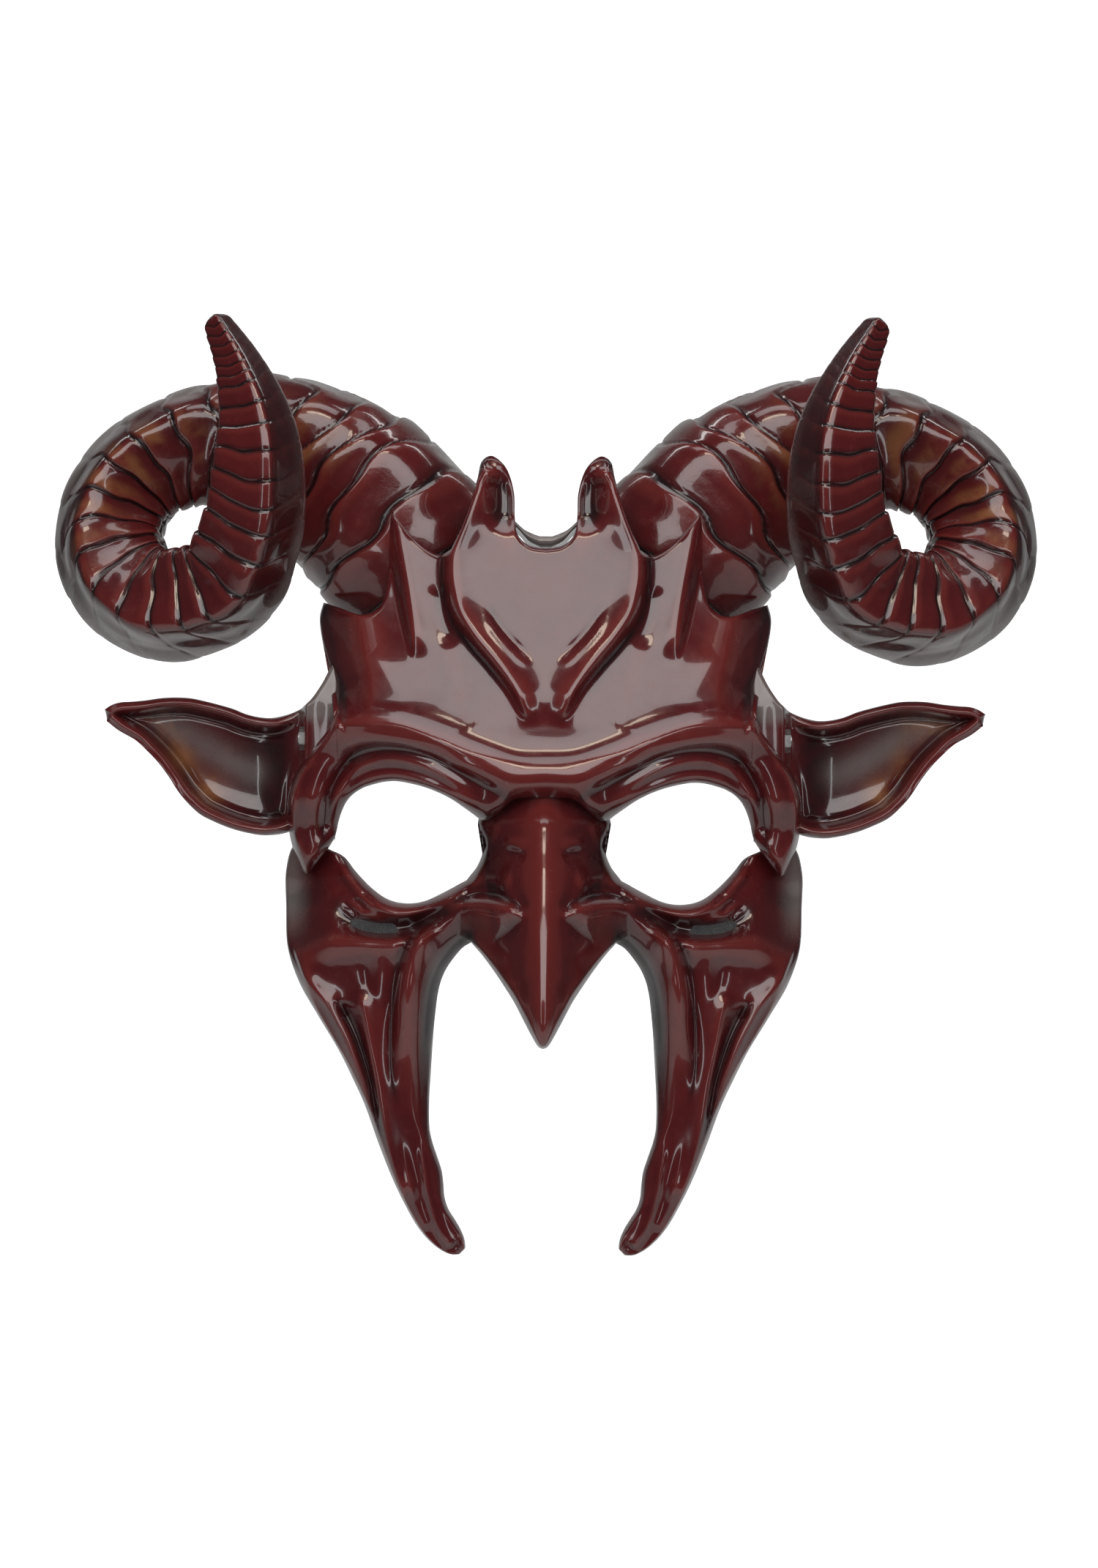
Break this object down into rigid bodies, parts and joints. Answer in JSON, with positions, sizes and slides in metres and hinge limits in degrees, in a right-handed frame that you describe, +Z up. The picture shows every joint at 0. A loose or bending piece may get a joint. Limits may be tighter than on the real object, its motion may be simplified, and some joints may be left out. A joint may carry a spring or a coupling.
{
  "type": "horned half mask",
  "caption": "Horned goat-demon half mask: beak nose, cupped pointed ears, spiral ram horns, toothed crown and long cheek strands beside an open mouth.",
  "frame": {"origin": "bridge of the wearer's nose at eye height, where the mask sits on the face", "axes": "+Z up, the mask looks along -Y, +X to the mask's right in a front view; X = 0 is the mirror plane"},
  "size_m": [0.269, 0.1032, 0.255],
  "materials": {
    "lacquer": "moulded shell, oxblood lacquer over dark antiquing, clear gloss coat",
    "horn_lacquer": "ribbed hollow moulding, oxblood lacquer with black-brown grooves, clear gloss coat",
    "saddle_lacquer": "grey-brown satin gloss lacquer",
    "plug_wood": "plain turned softwood",
    "foam": "black closed-cell foam",
    "steel": "zinc-plated",
    "eyelet_brass": "rolled brass"
  },
  "bodies": {
    "root": {"crown_shell": "lacquer", "face_shell": "lacquer", "saddle": "saddle_lacquer", "left_horn": "horn_lacquer", "right_horn": "horn_lacquer", "left_horn_plug": "plug_wood", "right_horn_plug": "plug_wood", "horn_screws": "steel", "horn_washers": "steel", "left_ear": "lacquer", "right_ear": "lacquer", "ear_screws": "steel", "left_temple_plate": "lacquer", "right_temple_plate": "lacquer", "temple_screws": "steel", "temple_nuts": "steel", "left_strap_eyelet": "eyelet_brass", "right_strap_eyelet": "eyelet_brass", "saddle_screws": "steel", "saddle_nuts": "steel", "forehead_pad": "foam", "nose_pad": "foam", "left_cheek_pad": "foam", "right_cheek_pad": "foam"}
  },
  "joints": []
}
